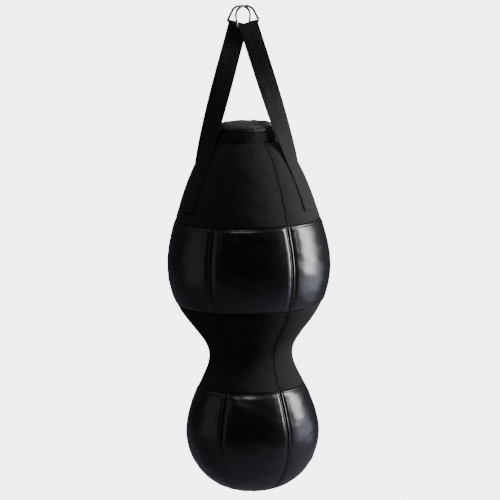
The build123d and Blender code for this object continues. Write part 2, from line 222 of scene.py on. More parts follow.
# %% Height of the cover above the outline
STITCH_MARGIN = 0.006
SEAM_DEPTH = {"shoulder": 0.0012, "upper_ball": 0.0018, "waist": 0.0012, "lower_ball": 0.0018}
LUMP_HEIGHT, RIDGE_HEIGHT, GROOVE_DEPTH, PUCKER_HEIGHT = 0.0006, 0.0007, 0.0006, 0.00055
chance = np.random.default_rng(7)
WAVES = [(chance.uniform(5, 26), int(chance.integers(2, 15)),
          chance.uniform(0, 2 * math.pi), chance.uniform(0, 2 * math.pi)) for _ in range(26)]


def uneven(angle, along):
    """Slow lumps of hard-packed filling, about -1 to 1."""
    total = 0
    for down, round_bag, phase, lean in WAVES:
        down_wave = np.sin(2 * np.pi * down * along / 1.2 * 1.3 + phase)
        total = total + down_wave * np.sin(round_bag * angle + lean)
    return total / 5.0


def bell(distance, width):
    return np.exp(-(distance / width) ** 2)


def swell_at(name, angle, along):
    """The swelling table read between its points."""
    top, foot = SPANS[name]
    table = swell_tables[name]
    column = (np.asarray(angle) - FIRST_SEAM) / (GORE_ANGLE / SIM_COLUMNS) % table.shape[1]
    row = np.clip((np.asarray(along) - top) / (foot - top), 0, 1) * SIM_ROWS
    c0, r0 = np.floor(column).astype(int), np.minimum(np.floor(row).astype(int), SIM_ROWS - 1)
    fc, fr = column - c0, row - r0
    fc, fr = fc * fc * (3 - 2 * fc), fr * fr * (3 - 2 * fr)
    c0, c1 = c0 % table.shape[1], (c0 + 1) % table.shape[1]
    upper = table[r0, c0] * (1 - fc) + table[r0, c1] * fc
    lower = table[r0 + 1, c0] * (1 - fc) + table[r0 + 1, c1] * fc
    return upper * (1 - fr) + lower * fr


def cover_offset(name, angle, along):
    """Height of a section's outer face above the outline, in metres."""
    angle, along = np.broadcast_arrays(np.asarray(angle, float), np.asarray(along, float))
    top, foot = SPANS[name]
    radius = np.interp(along, outline_length, outline[:, 0])
    turn = (angle - FIRST_SEAM) % GORE_ANGLE
    side = np.minimum(turn, GORE_ANGLE - turn) * radius
    end = np.minimum(along - top, foot - along) if name != "lower_ball" else along - top
    edge = np.minimum(side, end)
    height = SWELL_HEIGHT[name] * swell_at(name, angle, along)
    height = height + LUMP_HEIGHT * uneven(angle, along) * np.clip(edge / 0.03, 0, 1)
    depth = SEAM_DEPTH[name]
    for gap in (side, end):
        deep = np.where((gap is end) & (name == "shoulder") & (along - top < 0.05), 0.3, 1.0)
        height = height - depth * deep * bell(gap, 0.0016) + RIDGE_HEIGHT * bell(gap - 0.0034, 0.0018)
        height = height - GROOVE_DEPTH * bell(gap - STITCH_MARGIN, 0.0010)
        fade = np.clip((gap - 0.004) / 0.006, 0, 1) * np.exp(-np.clip(gap, 0, None) / 0.013)
        run = along if gap is side else angle * radius
        ripple = np.sin(run / 0.0046 + 2.0 * np.sin(run / 0.031)) * (0.7 + 0.5 * np.sin(run / 0.052 + 1))
        height = height + PUCKER_HEIGHT * fade * ripple
    return np.clip(height, -depth, None)


print("highest swell", round(1000 * float(cover_offset("upper_ball", -math.pi / 2, 0.36)), 2), "mm")

# %% [markdown]
# ## Shared effects
# Three effects come back on several materials, so each is a node group built once: a plain
# weave, a fine leather grain, and soft patches of wear. A group only gives out heights and
# masks. The shader stays in each material, where its own colours and gloss are set.

# %% Node group helper
def effect_group(title, inputs, outputs):
    """An empty shader group with named float or vector sockets."""
    group = bpy.data.node_groups.new(title, "ShaderNodeTree")
    for socket, kind, value in inputs:
        made = group.interface.new_socket(socket, in_out="INPUT", socket_type=kind)
        if value is not None:
            made.default_value = value
    for socket in outputs:
        group.interface.new_socket(socket, in_out="OUTPUT", socket_type="NodeSocketFloat")
    return group, group.nodes.new("NodeGroupInput"), group.nodes.new("NodeGroupOutput")


def sum_up(tree, operation, first, second=None, third=None):
    """One Math node, fed by sockets or plain numbers."""
    node = tree.nodes.new("ShaderNodeMath")
    node.operation = operation
    for slot_number, value in enumerate((first, second, third)):
        if isinstance(value, (int, float)):
            node.inputs[slot_number].default_value = value
        elif value is not None:
            tree.links.new(value, node.inputs[slot_number])
    return node.outputs[0]


# %% Plain weave
weave, weave_in, weave_out = effect_group(
    "plain weave", [("Vector", "NodeSocketVector", None), ("Pitch Across", "NodeSocketFloat", 0.0009),
                    ("Pitch Along", "NodeSocketFloat", 0.0009)], ["Height", "Crossing"])
split = weave.nodes.new("ShaderNodeSeparateXYZ")
weave.links.new(weave_in.outputs["Vector"], split.inputs[0])
across = sum_up(weave, "DIVIDE", split.outputs[0], weave_in.outputs["Pitch Across"])
along = sum_up(weave, "DIVIDE", split.outputs[1], weave_in.outputs["Pitch Along"])
thread_across = sum_up(weave, "ABSOLUTE", sum_up(weave, "SINE", sum_up(weave, "MULTIPLY", across, math.pi)))
thread_along = sum_up(weave, "ABSOLUTE", sum_up(weave, "SINE", sum_up(weave, "MULTIPLY", along, math.pi)))
checks = sum_up(weave, "MODULO", sum_up(weave, "ADD", sum_up(weave, "FLOOR", across),
                                         sum_up(weave, "FLOOR", along)), 2.0)
over = sum_up(weave, "ABSOLUTE", checks)
height = sum_up(weave, "ADD", sum_up(weave, "MULTIPLY", thread_across, over),
                sum_up(weave, "MULTIPLY", thread_along, sum_up(weave, "SUBTRACT", 1.0, over)))
weave.links.new(height, weave_out.inputs["Height"])
weave.links.new(sum_up(weave, "MULTIPLY", thread_across, thread_along), weave_out.inputs["Crossing"])
print("group", weave.name, len(weave.nodes), "nodes")

# %% Leather grain
grain, grain_in, grain_out = effect_group(
    "leather grain", [("Vector", "NodeSocketVector", None), ("Cells", "NodeSocketFloat", 900.0)],
    ["Height", "Shade"])
cells = grain.nodes.new("ShaderNodeTexVoronoi")
cells.feature = "SMOOTH_F1"
cells.inputs["Smoothness"].default_value = 0.6
grain.links.new(grain_in.outputs["Vector"], cells.inputs["Vector"])
grain.links.new(grain_in.outputs["Cells"], cells.inputs["Scale"])
folds = grain.nodes.new("ShaderNodeTexNoise")
folds.inputs["Scale"].default_value = 160.0
folds.inputs["Detail"].default_value = 3.0
grain.links.new(grain_in.outputs["Vector"], folds.inputs["Vector"])
raised = sum_up(grain, "MULTIPLY_ADD", cells.outputs["Distance"], -0.6, folds.outputs[0])
grain.links.new(raised, grain_out.inputs["Height"])
grain.links.new(folds.outputs[0], grain_out.inputs["Shade"])
print("group", grain.name, len(grain.nodes), "nodes")

# %% Wear patches
wear, wear_in, wear_out = effect_group(
    "wear patches", [("Vector", "NodeSocketVector", None), ("Size", "NodeSocketFloat", 9.0),
                     ("Amount", "NodeSocketFloat", 0.5)], ["Mask", "Scuffs"])
patches = wear.nodes.new("ShaderNodeTexNoise")
patches.inputs["Detail"].default_value = 5.0
wear.links.new(wear_in.outputs["Vector"], patches.inputs["Vector"])
wear.links.new(wear_in.outputs["Size"], patches.inputs["Scale"])
fine_marks = wear.nodes.new("ShaderNodeTexNoise")
fine_marks.inputs["Scale"].default_value = 210.0
fine_marks.inputs["Detail"].default_value = 2.0
wear.links.new(wear_in.outputs["Vector"], fine_marks.inputs["Vector"])
soft_mask = wear.nodes.new("ShaderNodeMapRange")
soft_mask.inputs["From Min"].default_value = 0.42
soft_mask.inputs["From Max"].default_value = 0.68
wear.links.new(patches.outputs[0], soft_mask.inputs["Value"])
mask = sum_up(wear, "MULTIPLY", soft_mask.outputs[0], wear_in.outputs["Amount"])
wear.links.new(mask, wear_out.inputs["Mask"])
wear.links.new(sum_up(wear, "MULTIPLY", mask, fine_marks.outputs[0]), wear_out.inputs["Scuffs"])
print("group", wear.name, len(wear.nodes), "nodes")

# %% [markdown]
# ## Materials
# The real covers are a glossy coated vinyl on the two balls and a dull canvas on the shoulder and
# waist. Every material is built by one helper, which mixes two near colours by a mask, varies
# the roughness by another and bumps the surface if it is given an effect. Canvas, webbing, lining
# and binding read a UV map laid out in metres, so that a thread has its real size. The rest read
# Object coordinates.

# %% Material helper
def finish_of(title, dark, light, roughness, metallic=0.0, effect=None, values=None, depth=0.0003,
              uv=False, wear_amount=0.35, rough_change=0.12, coat=0.0, sheen=0.0, specular=0.5):
    """A Principled material with colour, roughness and bump from the shared effect groups."""
    material = bpy.data.materials.new(title)
    material.use_nodes = True
    tree = material.node_tree
    shader = tree.nodes["Principled BSDF"]
    for socket, value in (("Metallic", metallic), ("Specular IOR Level", specular), ("Coat Weight", coat),
                          ("Coat Roughness", 0.12), ("Sheen Weight", sheen), ("Sheen Roughness", 0.4)):
        shader.inputs[socket].default_value = value
    place = tree.nodes.new("ShaderNodeTexCoord")
    where = place.outputs["UV" if uv else "Object"]
    worn = tree.nodes.new("ShaderNodeGroup")
    worn.node_tree = wear
    worn.inputs["Amount"].default_value = wear_amount
    tree.links.new(place.outputs["Object"], worn.inputs["Vector"])
    mixer = tree.nodes.new("ShaderNodeMix")
    mixer.data_type = "RGBA"
    mixer.inputs[6].default_value = (*dark, 1)
    mixer.inputs[7].default_value = (*light, 1)
    shade = worn.outputs["Mask"]
    if effect is not None:
        made = tree.nodes.new("ShaderNodeGroup")
        made.node_tree = effect
        for socket, value in (values or {}).items():
            made.inputs[socket].default_value = value
        tree.links.new(where, made.inputs["Vector"])
        bump = tree.nodes.new("ShaderNodeBump")
        bump.inputs["Strength"].default_value = 1.0
        bump.inputs["Distance"].default_value = depth
        tree.links.new(made.outputs["Height"], bump.inputs["Height"])
        tree.links.new(bump.outputs[0], shader.inputs["Normal"])
        shade = sum_up(tree, "MULTIPLY_ADD", made.outputs[1], 0.5, worn.outputs["Mask"])
    tree.links.new(shade, mixer.inputs[0])
    tree.links.new(mixer.outputs[2], shader.inputs["Base Color"])
    rough = sum_up(tree, "MULTIPLY_ADD", worn.outputs["Scuffs"], rough_change * 2, roughness)
    tree.links.new(rough, shader.inputs["Roughness"])
    return material


# %% The bag's finishes
vinyl = finish_of("glossy vinyl", (0.0025, 0.0026, 0.0032), (0.006, 0.0062, 0.0075), 0.27, effect=grain,
                  values={"Cells": 760.0}, depth=0.00016, wear_amount=0.3, rough_change=0.14, specular=0.95)
canvas = finish_of("black canvas", (0.016, 0.016, 0.0165), (0.030, 0.030, 0.031), 0.88, effect=weave,
                   values={"Pitch Across": 0.0011, "Pitch Along": 0.0011}, depth=0.00022, uv=True,
                   wear_amount=0.4, sheen=0.05, specular=0.25)
webbing = finish_of("ribbed webbing", (0.006, 0.0058, 0.006), (0.017, 0.0168, 0.017), 0.7, effect=weave,
                    values={"Pitch Across": 0.0021, "Pitch Along": 0.0013}, depth=0.0004, uv=True,
                    wear_amount=0.35, sheen=0.04, specular=0.35)
thread = finish_of("waxed thread", (0.010, 0.010, 0.011), (0.03, 0.03, 0.032), 0.45, effect=grain,
                   values={"Cells": 1500.0}, depth=0.0001, wear_amount=0.3)
chrome = finish_of("polished steel", (0.74, 0.75, 0.77), (0.86, 0.86, 0.88), 0.22, metallic=1.0,
                   wear_amount=0.5, rough_change=0.2)
lining = finish_of("grey lining", (0.055, 0.055, 0.058), (0.11, 0.11, 0.115), 0.6, effect=weave,
                   values={"Pitch Across": 0.0008, "Pitch Along": 0.0008}, depth=0.00012, uv=True, sheen=0.15)
binding = finish_of("rim binding", (0.006, 0.006, 0.007), (0.02, 0.02, 0.021), 0.5, effect=weave,
                    values={"Pitch Across": 0.0012, "Pitch Along": 0.0016}, depth=0.0002, uv=True)
tape = finish_of("zip tape", (0.008, 0.008, 0.009), (0.02, 0.02, 0.022), 0.7, effect=weave,
                 values={"Pitch Across": 0.0007, "Pitch Along": 0.0007}, depth=0.0001)
nylon = finish_of("nylon zip teeth", (0.012, 0.012, 0.013), (0.03, 0.03, 0.033), 0.35, effect=grain,
                  values={"Cells": 700.0}, depth=0.00005)
enamel = finish_of("black enamel", (0.012, 0.012, 0.013), (0.10, 0.10, 0.10), 0.28, metallic=0.6,
                   effect=grain, values={"Cells": 500.0}, depth=0.00004, coat=0.4)
foam = finish_of("foam and filling", (0.16, 0.15, 0.13), (0.30, 0.29, 0.26), 0.95, effect=grain,
                 values={"Cells": 320.0}, depth=0.0008)
hoop = finish_of("stiffening hoop", (0.02, 0.02, 0.022), (0.05, 0.05, 0.052), 0.45, effect=grain,
                 values={"Cells": 260.0}, depth=0.0001)
print(len(bpy.data.materials), "materials")

# %% [markdown]
# ## Making meshes
# Most pieces are a grid of points: rows by columns, on the skin, along a band or round a rim. One
# helper turns any such grid into a mesh at the origin with a UV map in metres.

# %% Grid to mesh
def grid_piece(name, points, uv, material, close_round=False, close_down=False, caps=False):
    """A mesh from rows x columns of points. Faces look outwards where columns go to the right."""
    rows, columns = points.shape[:2]
    faces, corners = [], []
    for r in range(rows if close_down else rows - 1):
        for c in range(columns if close_round else columns - 1):
            r1, c1 = (r + 1) % rows, (c + 1) % columns
            faces.append((r * columns + c, r1 * columns + c, r1 * columns + c1, r * columns + c1))
            corners += [uv[r, c], uv[r + 1 if close_down else r1, c],
                        uv[r + 1 if close_down else r1, c + 1 if close_round else c1],
                        uv[r, c + 1 if close_round else c1]]
    if caps:
        for row, order in ((0, 1), (rows - 1, -1)):
            ring = [row * columns + c for c in range(columns)][::order]
            faces.append(tuple(ring))
            corners += [uv[row, c] for c in range(columns)][::order]
    mesh = bpy.data.meshes.new(name)
    mesh.from_pydata(points.reshape(-1, 3).tolist(), [], faces)
    layer = mesh.uv_layers.new(name="fabric")
    layer.data.foreach_set("uv", np.array(corners, np.float32).ravel())
    mesh.materials.append(material)
    mesh.shade_smooth()
    piece = bpy.data.objects.new(name, mesh)
    bpy.context.scene.collection.objects.link(piece)
    return piece


def thicken(piece, thickness):
    """A wall behind the piece's outer face."""
    wall = piece.modifiers.new("Thickness", "SOLIDIFY")
    wall.thickness, wall.offset = thickness, -1.0
    return piece


def outward(piece):
    """Turns a closed piece's faces outwards."""
    shape = bmesh.new()
    shape.from_mesh(piece.data)
    bmesh.ops.recalc_face_normals(shape, faces=shape.faces)
    shape.to_mesh(piece.data)
    shape.free()
    return piece


# %% [markdown]
# ## The gores
# The cover is 24 gores: six to a section. Each could be one subdivided patch, but then the seams
# would have to be modelled by hand 24 times. Here each gore is a fine grid whose columns crowd
# towards its seams, where the ridge, valley and stitch groove are, lifted by the cover's height.

# %% Sew the gores
COLUMNS, ROWS, LOWER_BALL_ROWS = 72, 84, 112
COVER_WALL = 0.0012


def crowded(count, both=True):
    """Shares from 0 to 1, crowded at both ends or only at the start."""
    t = np.linspace(-1, 1, count) if both else np.linspace(-1, 0, count)
    crowd = t + 0.84 * np.sin(np.pi * t) / np.pi
    return (crowd - crowd[0]) / (crowd[-1] - crowd[0])


for name in SECTIONS:
    top, foot = SPANS[name]
    rows = LOWER_BALL_ROWS if name == "lower_ball" else ROWS
    along = top + (foot - top) * crowded(rows, both=name != "lower_ball")
    radius = np.interp(along, outline_length, outline[:, 0])
    for number in range(GORES):
        centre = FIRST_SEAM + GORE_ANGLE * (number + 0.5)
        angle = centre + GORE_ANGLE * (crowded(COLUMNS) - 0.5)
        inside = np.clip(angle, centre - GORE_ANGLE / 2 + 1e-6, centre + GORE_ANGLE / 2 - 1e-6)
        height = cover_offset(name, inside[None, :], along[:, None])
        points, _ = skin_point(angle[None, :], along[:, None], height)
        uv = np.stack(np.broadcast_arrays((angle[None, :] - centre) * radius[:, None], along[:, None]), -1)
        cover = canvas if name in ("shoulder", "waist") else vinyl
        gore = thicken(grid_piece(f"{name}_gore_{number + 1}", points, uv, cover), COVER_WALL)
        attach(gore, "bag")
        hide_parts(f"{name}_panel_{number + 1}")
    print(name, "gores", points.shape, "swell up to", round(1000 * height.max(), 2), "mm")

# %% [markdown]
# ## Stitches
# Each seam is topstitched on both sides. Thousands of stitches follow curves, which is work for
# Geometry Nodes: guide lines on the skin become curves, are divided at the stitch length, and a
# tiny capsule is laid along the line at every point, square to the cover.

# %% Stitch tree
def begin_tree(title, line, sizes, material, made):
    """A Geometry Nodes tree with its sockets, as far as its line divided at the pitch."""
    tree = bpy.data.node_groups.new(title, "GeometryNodeTree")
    tree.interface.new_socket(line, in_out="INPUT", socket_type="NodeSocketGeometry")
    for socket, value in sizes:
        tree.interface.new_socket(socket, in_out="INPUT", socket_type="NodeSocketFloat").default_value = value
    tree.interface.new_socket(material, in_out="INPUT", socket_type="NodeSocketMaterial")
    tree.interface.new_socket(made, in_out="OUTPUT", socket_type="NodeSocketGeometry")
    given = tree.nodes.new("NodeGroupInput")
    curve, divide = tree.nodes.new("GeometryNodeMeshToCurve"), tree.nodes.new("GeometryNodeResampleCurve")
    divide.mode = "LENGTH"
    tree.links.new(given.outputs[line], curve.inputs["Mesh"])
    tree.links.new(curve.outputs["Curve"], divide.inputs["Curve"])
    tree.links.new(given.outputs["Pitch"], divide.inputs["Length"])
    return tree, given, divide.outputs["Curve"]


def lay_ball(tree, line, segments, rings, radius, scale):
    """A low ball, stretched to its scale, at every point of a line."""
    ball, lay = tree.nodes.new("GeometryNodeMeshUVSphere"), tree.nodes.new("GeometryNodeInstanceOnPoints")
    for socket, value in (("Segments", segments), ("Rings", rings), ("Radius", radius)):
        ball.inputs[socket].default_value = value
    tree.links.new(line, lay.inputs["Points"])
    tree.links.new(ball.outputs["Mesh"], lay.inputs["Instance"])
    tree.links.new(scale, lay.inputs["Scale"])
    return lay


def end_tree(tree, given, shapes, material, made):
    """Ends a tree in Realize Instances and Set Material."""
    real, paint = tree.nodes.new("GeometryNodeRealizeInstances"), tree.nodes.new("GeometryNodeSetMaterial")
    result = tree.nodes.new("NodeGroupOutput")
    tree.links.new(shapes, real.inputs["Geometry"])
    tree.links.new(real.outputs["Geometry"], paint.inputs["Geometry"])
    tree.links.new(given.outputs[material], paint.inputs["Material"])
    tree.links.new(paint.outputs["Geometry"], result.inputs[made])
    return tree


def stitch_tree():
    """Geometry Nodes that sew stitches along guide lines with an 'out' direction."""
    sizes = (("Pitch", 0.0042), ("Stitch Length", 0.0032), ("Thread Radius", 0.0004))
    tree, given, line = begin_tree("stitch rows", "Guides", sizes, "Thread", "Stitches")
    nodes, links = tree.nodes, tree.links
    size, half = nodes.new("ShaderNodeCombineXYZ"), nodes.new("ShaderNodeMath")
    half.operation = "MULTIPLY"
    half.inputs[1].default_value = 0.5
    links.new(given.outputs["Stitch Length"], half.inputs[0])
    links.new(half.outputs[0], size.inputs["X"])
    for axis in "YZ":
        links.new(given.outputs["Thread Radius"], size.inputs[axis])
    along, out = nodes.new("GeometryNodeInputTangent"), nodes.new("GeometryNodeInputNamedAttribute")
    out.data_type = "FLOAT_VECTOR"
    out.inputs["Name"].default_value = "out"
    turn_along, turn_out = (nodes.new("FunctionNodeAlignRotationToVector") for _ in range(2))
    turn_along.axis, turn_out.axis, turn_out.pivot_axis = "X", "Z", "X"
    links.new(along.outputs[0], turn_along.inputs["Vector"])
    links.new(turn_along.outputs[0], turn_out.inputs["Rotation"])
    links.new(out.outputs[0], turn_out.inputs["Vector"])
    sew = lay_ball(tree, line, 6, 4, 1.0, size.outputs[0])
    links.new(turn_out.outputs[0], sew.inputs["Rotation"])
    smooth = nodes.new("GeometryNodeSetShadeSmooth")
    links.new(sew.outputs["Instances"], smooth.inputs["Geometry"])
    return end_tree(tree, given, smooth.outputs["Geometry"], "Thread", "Stitches")


sewing = stitch_tree()
print("tree", sewing.name, len(sewing.nodes), "nodes")


# %% Baking a tree into a plain mesh
def baked(name, guides, tree, values):
    """Runs a tree on a mesh and keeps the result as a plain mesh object."""
    carrier = bpy.data.objects.new(f"{name}_guides", guides)
    bpy.context.scene.collection.objects.link(carrier)
    modifier = carrier.modifiers.new("Maker", "NODES")
    modifier.node_group = tree
    for item in tree.interface.items_tree:
        if item.in_out == "INPUT" and item.name in values:
            modifier[item.identifier] = values[item.name]
    evaluated = carrier.evaluated_get(bpy.context.evaluated_depsgraph_get())
    mesh = bpy.data.meshes.new_from_object(evaluated)
    mesh.name = name
    bpy.data.objects.remove(carrier)
    piece = bpy.data.objects.new(name, mesh)
    bpy.context.scene.collection.objects.link(piece)
    return piece


STITCH_SHARE = 0.76     # of the pitch; the rest is the gap between two stitches


def sewn_rows(name, rows, pitch=0.0042, thread_radius=0.0004):
    """Stitches along rows of (points, outward directions, closed)."""
    points, outs, edges = [], [], []
    for line, normals, closed in rows:
        first = len(points)
        points += line.tolist()
        outs += normals.tolist()
        edges += [(first + i, first + i + 1) for i in range(len(line) - 1)]
        if closed:
            edges.append((first + len(line) - 1, first))
    guides = bpy.data.meshes.new(f"{name}_lines")
    guides.from_pydata(points, edges, [])
    out = guides.attributes.new("out", "FLOAT_VECTOR", "POINT")
    out.data.foreach_set("vector", np.array(outs, np.float32).ravel())
    piece = baked(name, guides, sewing, {"Pitch": pitch, "Stitch Length": pitch * STITCH_SHARE,
                                         "Thread Radius": thread_radius, "Thread": thread})
    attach(piece, "bag")
    return piece


# %% Topstitch the seams
def skin_row(name, angle, along, closed=False, lift=0.0001):
    points, normals = skin_point(angle, along, cover_offset(name, angle, along) + lift)
    return points, normals, closed


full_turn = np.linspace(0, 2 * math.pi, 360, endpoint=False)
for name in SECTIONS:
    top, foot = SPANS[name]
    along = np.linspace(top + 0.003, foot - 0.003, 160)
    radius = np.interp(along, outline_length, outline[:, 0])
    rows = []
    for number in range(GORES):
        for side in (-1, 1):
            beside_seam = FIRST_SEAM + GORE_ANGLE * number + side * STITCH_MARGIN / radius
            rows.append(skin_row(name, beside_seam, along))
    ends = [top + STITCH_MARGIN] if name == "lower_ball" else [top + STITCH_MARGIN, foot - STITCH_MARGIN]
    for height in ends:
        rows.append(skin_row(name, full_turn, height, closed=True))
    stitches = sewn_rows(f"{name}_stitches", rows)
    print(name, "stitches:", len(stitches.data.polygons), "faces")

# %% [markdown]
# ## Webbing straps
# Two bands of 50 mm webbing carry the bag. Each starts sewn on a front gore, rises to its ring,
# goes over the ring's bar and comes down to the rear gore. A band could be a curve with a bevel,
# but it has to turn from the bar's direction to the gore's, so its points are worked out from a
# centre line with its own width direction. Where it is sewn down it follows the stuffed cover.

# %% The rings' own directions
RING_ROLL = math.radians(16.5)
WIRE, BAR_DROP, ARC, TAPER, CORNER = 0.003, 0.0455, 0.0245, math.radians(10), 0.004
BAR_Y, RING_Y = 0.0062, 0.00315
LOOP = 0.00455
BAND_WIDTH, BAND_THICKNESS = 0.050, 0.0025
SEWN_TOP, SEWN_END = length_at(-0.413), length_at(-0.515)
STRAIGHT_LEG, STRAIGHT_ROWS, TURNING_ROWS, TWIST_POWER = 0.050, 12, 72, 1.6
BAR_ROWS = 12
TAIL_FOLD, FOLD_EASE, FOLD_RISE = 0.013, 0.003, 0.45


def ring_frame(side):
    """Middle of a ring's bar, the way along the bar and the way up its strap."""
    along_bar = np.array([math.cos(RING_ROLL), 0, side * math.sin(RING_ROLL)])
    up_strap = np.array([-side * math.sin(RING_ROLL), 0, math.cos(RING_ROLL)])
    sideways = -side * (BAR_Y - RING_Y)
    down = math.sqrt(BAR_DROP**2 - sideways**2)
    return np.array([0, -side * RING_Y + sideways, 0]) - up_strap * down, along_bar, up_strap


def unit(vectors):
    return vectors / np.linalg.norm(vectors, axis=-1, keepdims=True)


# %% Cross section of the webbing
half_width, half_thick = BAND_WIDTH / 2, BAND_THICKNESS / 2
FLAT_POINTS = 33
flat = np.linspace(-half_width + half_thick, half_width - half_thick, FLAT_POINTS)
face = (half_thick - 0.00035 * np.exp(-((np.abs(flat) - 0.0205) / 0.0011) ** 2)
        - 0.0002 * np.exp(-(flat / 0.0011) ** 2))
bend = np.linspace(-math.pi / 2, math.pi / 2, 7)[1:-1]
band_section = np.concatenate([
    np.stack([flat, face], -1),
    np.stack([half_width - half_thick + half_thick * np.cos(bend[::-1]),
              half_thick * np.sin(bend[::-1])], -1),
    np.stack([flat[::-1], -face[::-1]], -1),
    np.stack([-half_width + half_thick - half_thick * np.cos(bend), half_thick * np.sin(bend)], -1)])
print("webbing section", len(band_section), "points")


# %% One band's centre line
def leg_line(side, facing, plan):
    """A free leg's stations from the loop to the skin, its width ways and the gore's own width way."""
    bar, along_bar, up_strap = ring_frame(side)
    tangent = np.array([-math.sin(plan), math.cos(plan), 0])
    tangent = tangent if tangent[0] > 0 else -tangent
    stand_off = np.array([0, facing * LOOP, 0])
    spread = bar + stand_off - up_strap * STRAIGHT_LEG
    end, _ = skin_point(plan, SEWN_TOP, 0.00185 + 0.0004)
    points = [bar + stand_off - up_strap * drop for drop in np.linspace(0.0, 0.046, STRAIGHT_ROWS)]
    widths = [along_bar] * STRAIGHT_ROWS
    for share in np.linspace(0, 1, TURNING_ROWS):
        twist = share**TWIST_POWER
        points.append(spread + (end - spread) * share)
        widths.append(along_bar * (1 - twist) + tangent * twist)
    return np.array(points), np.array(widths), tangent


def folded(along):
    """0 along a sewn tail, and 1 where its end is folded under."""
    return np.clip((along - (SEWN_END - TAIL_FOLD)) / FOLD_EASE, 0, 1)


def band_seat(angle, along):
    """Height of a sewn band's underside, which follows the cover half way and never goes into it."""
    bare = cover_offset("shoulder", angle, along)
    return np.maximum(bare * 0.5 + 0.0008, bare + 0.0001)


def half_band(side, facing, plan):
    """Rows of a band's points from the top of the bar down one leg to the sewn end."""
    bar, along_bar, up_strap = ring_frame(side)
    rows = []
    out_way = np.array([0.0, facing, 0.0])
    for turn in np.linspace(math.pi / 2, 0, BAR_ROWS)[:-1]:
        normal = out_way * math.cos(turn) + up_strap * math.sin(turn)
        centre = bar + normal * LOOP
        rows.append(centre + band_section[:, :1] * along_bar + band_section[:, 1:] * normal)
    points, widths, tangent = leg_line(side, facing, plan)
    way = unit(np.gradient(points, axis=0))
    kernel = np.hanning(9) / np.hanning(9).sum()
    smoothed = [np.convolve(np.pad(way[:, k], 4, mode="edge"), kernel, "valid") for k in range(3)]
    way = unit(np.stack(smoothed, -1))
    widths = unit(widths - way * (widths * way).sum(-1, keepdims=True))
    normals = np.cross(way, widths)
    normals *= np.sign((normals * out_way).sum(-1, keepdims=True))
    sense = 1 if np.dot(tangent, [-math.sin(plan), math.cos(plan), 0]) > 0 else -1

    def sewn(along, thicker=1.0):
        radius = np.interp(along, outline_length, outline[:, 0])
        angle = plan + sense * np.arcsin(band_section[:, 0] / radius)
        middle_height = band_seat(angle, along) + half_thick * thicker
        return skin_point(angle, along, middle_height + band_section[:, 1] * thicker)[0]

    landing = sewn(SEWN_TOP)
    flat_end = points[-1] + band_section[:, :1] * widths[-1] + band_section[:, 1:] * normals[-1]
    for k in range(len(points) - 1):
        share = max(0.0, 1 - np.linalg.norm(points[-1] - points[k]) / 0.045)
        share = share * share * (3 - 2 * share)
        flutter = 0.0006 * math.sin(k / 9.0 + plan) * np.sin(band_section[:, :1] / half_width * 1.3)
        row = points[k] + band_section[:, :1] * widths[k] + (band_section[:, 1:] + flutter) * normals[k]
        rows.append(row + share * (landing - flat_end))
    for along in np.linspace(SEWN_TOP, SEWN_END, 60):
        rows.append(sewn(along, 1.0 + FOLD_RISE * folded(along)))
    rows = np.array(rows)
    landing_row = BAR_ROWS - 1 + len(points) - 1
    eased = rows.copy()
    for k in range(landing_row - 9, landing_row + 8):
        eased[k] = (rows[k - 4:k + 5] * np.hanning(11)[1:-1, None, None]).sum(0) / np.hanning(11).sum()
    return eased


# %% Make both straps
STRAP_SIDES = {"left": (-1, -150, 150, "rear_ring"), "right": (1, -30, 30, "front_ring")}
for side_name, (side, front_plan, rear_plan, ring_body) in STRAP_SIDES.items():
    front = half_band(side, -1, math.radians(front_plan))[::-1]
    rear = half_band(side, 1, math.radians(rear_plan))[1:]
    rows = np.concatenate([front, rear])
    middle = rows[:, [0, FLAT_POINTS - 1, FLAT_POINTS + 5, 2 * FLAT_POINTS + 4]].mean(axis=1)
    run = np.concatenate([[0], np.cumsum(np.linalg.norm(np.diff(middle, axis=0), axis=1))])
    girth = np.append(band_section[:, 0], band_section[0, 0])
    uv = np.stack(np.broadcast_arrays(girth[None, :], run[:, None]), -1)
    strap = grid_piece(f"webbing_strap_{side_name}", rows[:, ::-1], uv[:, ::-1], webbing,
                       close_round=True, caps=True)
    outward(strap)
    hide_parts(f"strap_loop_{side_name}", f"strap_front_{side_name}", f"strap_rear_{side_name}")
    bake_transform(strap)
    print(strap.name, round(run[-1], 3), "m of webbing")

# %% Stitches on the sewn webbing
def tail_row(plan, line):
    """A stitch row across or along a sewn tail, from (offset across, distance along) pairs."""
    line = np.array(line)
    radius = np.interp(line[:, 1], outline_length, outline[:, 0])
    angle = plan + np.arcsin(line[:, 0] / radius)
    lift = band_seat(angle, line[:, 1]) + BAND_THICKNESS + 0.0001
    points, normals = skin_point(angle, line[:, 1], lift + folded(line[:, 1]) * BAND_THICKNESS * FOLD_RISE)
    return points, normals, False


def straight(start, end, count=40):
    return np.linspace(start, end, count)


inset = half_width - 0.004
tail_rows = []
for side, front_plan, rear_plan, _ in STRAP_SIDES.values():
    for plan in (math.radians(front_plan), math.radians(rear_plan)):
        for drop in (0.003, 0.0065):
            tail_rows.append(tail_row(plan, straight((-inset, SEWN_TOP + drop), (inset, SEWN_TOP + drop))))
        for edge in (-inset, inset):
            tail_rows.append(tail_row(plan, straight((edge, SEWN_TOP + 0.003), (edge, SEWN_END - 0.004), 90)))
        for drop in (0.004, 0.012, 0.040, 0.044):
            tail_rows.append(tail_row(plan, straight((-inset, SEWN_END - drop), (inset, SEWN_END - drop))))
tail_stitches = sewn_rows("webbing_stitches", tail_rows, pitch=0.0045, thread_radius=0.00045)
print("webbing stitches:", len(tail_stitches.data.polygons), "faces")

# %% [markdown]
# ## D-rings
# Each ring is one length of round wire bent to a D and welded. Its straight bar carries the
# webbing and its round top goes on the hook. A circle is swept along the ring's closed line,
# in the ring's own leaning plane, so the bends stay perfectly round.

